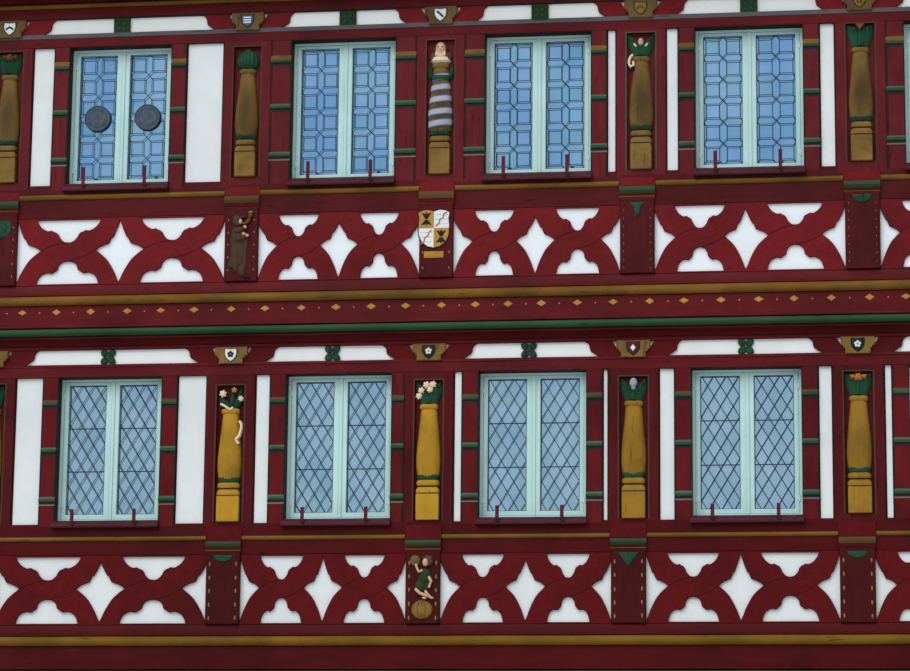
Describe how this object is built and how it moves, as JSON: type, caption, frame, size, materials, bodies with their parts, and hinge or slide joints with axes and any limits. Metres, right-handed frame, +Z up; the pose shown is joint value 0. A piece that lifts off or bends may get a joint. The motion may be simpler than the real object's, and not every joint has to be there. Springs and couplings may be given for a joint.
{
  "type": "half timbered town house",
  "caption": "Town house in a row with jettied timber storeys, curved crosses, carved columns, leaded casements, plain party walls and a tiled saddle roof.",
  "frame": {"origin": "centre of the house's plan, at street level", "axes": "+X along the street front to the right, front towards -Y, +Z up"},
  "size_m": [12.977, 9.46, 15.6724],
  "materials": {
    "red_timber": "ox-blood oil paint, weathered",
    "white_plaster": "smooth limewashed plaster",
    "party_plaster": "rough cast plaster",
    "ground_plaster": "trowelled plaster",
    "ochre_wood": "ochre paint on carved wood, worn",
    "window_paint": "pale green gloss paint",
    "window_glass": "leaded panes",
    "door_wood": "oiled oak",
    "floor_wood": "sawn boards on joists",
    "roof_tiles": "plain clay tiles"
  },
  "bodies": {
    "root": {"attic_floor": "floor_wood", "eaves_back": "red_timber", "eaves_front": "red_timber", "first_back_band": "red_timber", "first_back_casements": "window_paint", "first_back_frame": "red_timber", "first_back_glass": "window_glass", "first_back_infill": "white_plaster", "first_band": "red_timber", "first_brackets": "red_timber", "first_casements": "window_paint", "first_columns": "ochre_wood", "first_consoles": "ochre_wood", "first_crosses": "red_timber", "first_floor": "floor_wood", "first_glass": "window_glass", "first_infill": "white_plaster", "first_jambs": "red_timber", "first_posts": "red_timber", "first_rails": "red_timber", "first_sill_boards": "red_timber", "front_door": "door_wood", "ground_floor": "floor_wood", "ground_glass_back": "window_glass", "ground_glass_front": "window_glass", "ground_wall_back": "ground_plaster", "ground_wall_front": "ground_plaster", "ground_windows_back": "window_paint", "ground_windows_front": "window_paint", "party_wall_left": "party_plaster", "party_wall_right": "party_plaster", "ridge": "roof_tiles", "roof_back": "roof_tiles", "roof_front": "roof_tiles", "second_back_band": "red_timber", "second_back_casements": "window_paint", "second_back_frame": "red_timber", "second_back_glass": "window_glass", "second_back_infill": "white_plaster", "second_band": "red_timber", "second_brackets": "red_timber", "second_casements": "window_paint", "second_columns": "ochre_wood", "second_consoles": "ochre_wood", "second_crosses": "red_timber", "second_floor": "floor_wood", "second_glass": "window_glass", "second_infill": "white_plaster", "second_jambs": "red_timber", "second_posts": "red_timber", "second_rails": "red_timber", "second_sill_boards": "red_timber"}
  },
  "joints": []
}
